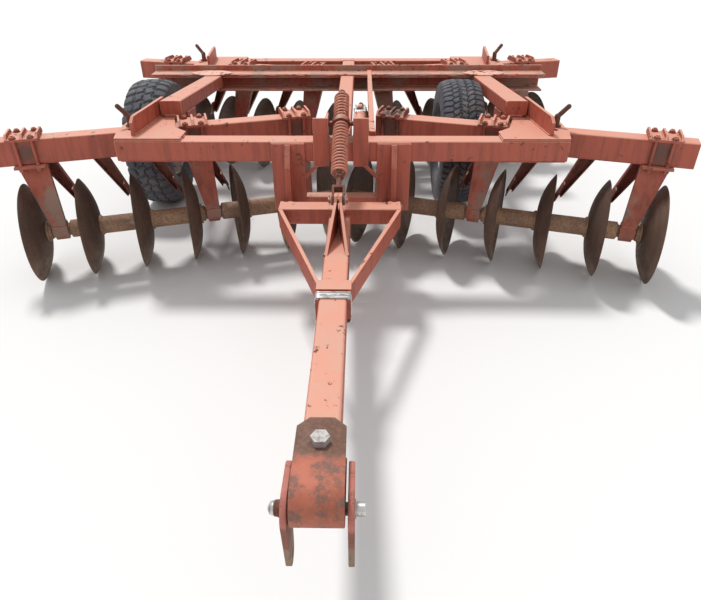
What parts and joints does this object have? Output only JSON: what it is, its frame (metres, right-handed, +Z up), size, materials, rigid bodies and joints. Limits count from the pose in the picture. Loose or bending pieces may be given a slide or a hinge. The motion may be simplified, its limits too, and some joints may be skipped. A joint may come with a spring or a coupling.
{
  "type": "disc harrow",
  "caption": "Trailed tandem disc harrow on a rectangular tube frame: front and rear gangs of dished discs, transport wheels on a rockshaft, a sprung drawbar and a hitch clevis",
  "frame": {"origin": "on the ground, under the middle of the machine's overall length and width", "axes": "+Y runs from the hitch to the rear along the direction of travel, +X to the right as seen from the front looking rearwards, +Z up"},
  "size_m": [3.4724, 4.0559, 0.9024],
  "materials": {
    "red_paint": "faded, dusty red paint",
    "dark_paint": "dull paint worn to rust",
    "rusty_steel": "rusted steel",
    "rusty_iron": "rusted castings",
    "disc_steel": "brown weathered steel",
    "tyre_rubber": "dusty rubber",
    "rim_paint": "dull light paint",
    "bright_steel": "ground rod",
    "bolt_steel": "zinc gone dull",
    "spring_paint": "paint with bare wire at its edges"
  },
  "bodies": {
    "root": {"front_tube": "red_paint", "rear_tube": "red_paint", "centre_beam": "red_paint", "stay_bar": "red_paint", "side_rails": "red_paint", "rear_cross": "red_paint", "corner_brackets": "red_paint", "centre_ties": "dark_paint", "front_gang_beams": "red_paint", "rear_gang_beams": "red_paint", "gang_pins": "rusty_steel", "front_hangers": "red_paint", "rear_hangers": "red_paint", "front_clamps": "red_paint", "rear_clamps": "red_paint", "front_scrapers": "dark_paint", "rear_scrapers": "dark_paint", "hinge_legs": "red_paint", "spring_uprights": "red_paint", "rockshaft_hangers": "red_paint", "cylinder_anchor": "red_paint"},
    "gang_front_left": {"discs_front_left": "disc_steel", "axle_front_left": "rusty_iron"},
    "gang_front_right": {"discs_front_right": "disc_steel", "axle_front_right": "rusty_iron"},
    "gang_rear_left": {"discs_rear_left": "disc_steel", "axle_rear_left": "rusty_iron"},
    "gang_rear_right": {"discs_rear_right": "disc_steel", "axle_rear_right": "rusty_iron"},
    "rockshaft": {"rockshaft": "red_paint"},
    "left_wheel": {"left_tyre": "tyre_rubber", "left_rim": "rim_paint"},
    "right_wheel": {"right_tyre": "tyre_rubber", "right_rim": "rim_paint"},
    "lift_cylinder": {"lift_cylinder": "red_paint"},
    "lift_cylinder_rod": {"lift_cylinder_rod": "bright_steel"},
    "drawbar": {"drawbar_tube": "red_paint", "drawbar_frame": "red_paint", "hitch_strap": "rusty_steel", "hitch_bolt": "bolt_steel", "hitch_pin": "bolt_steel"},
    "hitch_cheeks": {"hitch_cheeks": "rusty_steel"},
    "spring_rod": {"spring_rod": "rusty_steel"},
    "spring_collar": {"spring_collar": "dark_paint", "levelling_spring": "spring_paint"}
  },
  "joints": [
    {"name": "gang_front_left_turn", "type": "hinge", "parent": "root", "child": "gang_front_left", "pos_m": [-0.79127, 0.11215, 0.254], "axis": [-0.9563, -0.2924, 0], "continuous": true},
    {"name": "gang_rear_left_turn", "type": "hinge", "parent": "root", "child": "gang_rear_left", "pos_m": [-0.82555, 1.638, 0.254], "axis": [-0.9724, 0.2334, 0], "continuous": true},
    {"name": "gang_front_right_turn", "type": "hinge", "parent": "root", "child": "gang_front_right", "pos_m": [0.79127, 0.11215, 0.254], "axis": [0.9563, -0.2924, 0], "continuous": true},
    {"name": "gang_rear_right_turn", "type": "hinge", "parent": "root", "child": "gang_rear_right", "pos_m": [0.82555, 1.638, 0.254], "axis": [0.9724, 0.2334, 0], "continuous": true},
    {"name": "rockshaft_turn", "type": "hinge", "parent": "root", "child": "rockshaft", "pos_m": [0, 0.50264, 0.53], "axis": [1, 0, 0], "range_deg": [-32, 6]},
    {"name": "left_wheel_turn", "type": "hinge", "parent": "rockshaft", "child": "left_wheel", "pos_m": [-1.219, 0.94264, 0.39], "axis": [1, 0, 0], "continuous": true},
    {"name": "right_wheel_turn", "type": "hinge", "parent": "rockshaft", "child": "right_wheel", "pos_m": [0.715, 0.94264, 0.39], "axis": [1, 0, 0], "continuous": true},
    {"name": "lift_cylinder_swing", "type": "hinge", "parent": "root", "child": "lift_cylinder", "pos_m": [0.0915, 0.05764, 0.68], "axis": [1, 0, 0], "range_deg": [-6.94, 1.71]},
    {"name": "lift_cylinder_stroke", "type": "slide", "parent": "lift_cylinder", "child": "lift_cylinder_rod", "axis": [0, 0.9993, 0.0381], "range_m": [-0.01759, 0.08516]},
    {"name": "drawbar_turn", "type": "hinge", "parent": "root", "child": "drawbar", "pos_m": [0, -0.12816, 0.4], "axis": [1, 0, 0], "range_deg": [-5, 5]},
    {"name": "spring_rod_turn", "type": "hinge", "parent": "drawbar", "child": "spring_rod", "pos_m": [0, -0.50736, 0.6], "axis": [1, 0, 0], "range_deg": [-2.82, 2.82]},
    {"name": "spring_collar_turn", "type": "hinge", "parent": "root", "child": "spring_collar", "pos_m": [0, -0.03336, 0.795], "axis": [1, 0, 0], "range_deg": [-3.18, 3.18]},
    {"name": "hitch_cheeks_swing", "type": "hinge", "parent": "drawbar", "child": "hitch_cheeks", "pos_m": [0, -1.96316, 0.42294], "axis": [1, 0, 0], "range_deg": [-70, 35]}
  ],
  "couplings": [
    {"joint": "lift_cylinder_swing", "follows": "rockshaft_turn", "ratio": 0.2012},
    {"joint": "lift_cylinder_stroke", "follows": "rockshaft_turn", "m_per_rad": -0.1489},
    {"joint": "spring_rod_turn", "follows": "drawbar_turn", "ratio": -0.4642},
    {"joint": "spring_collar_turn", "follows": "drawbar_turn", "ratio": 0.5358}
  ]
}
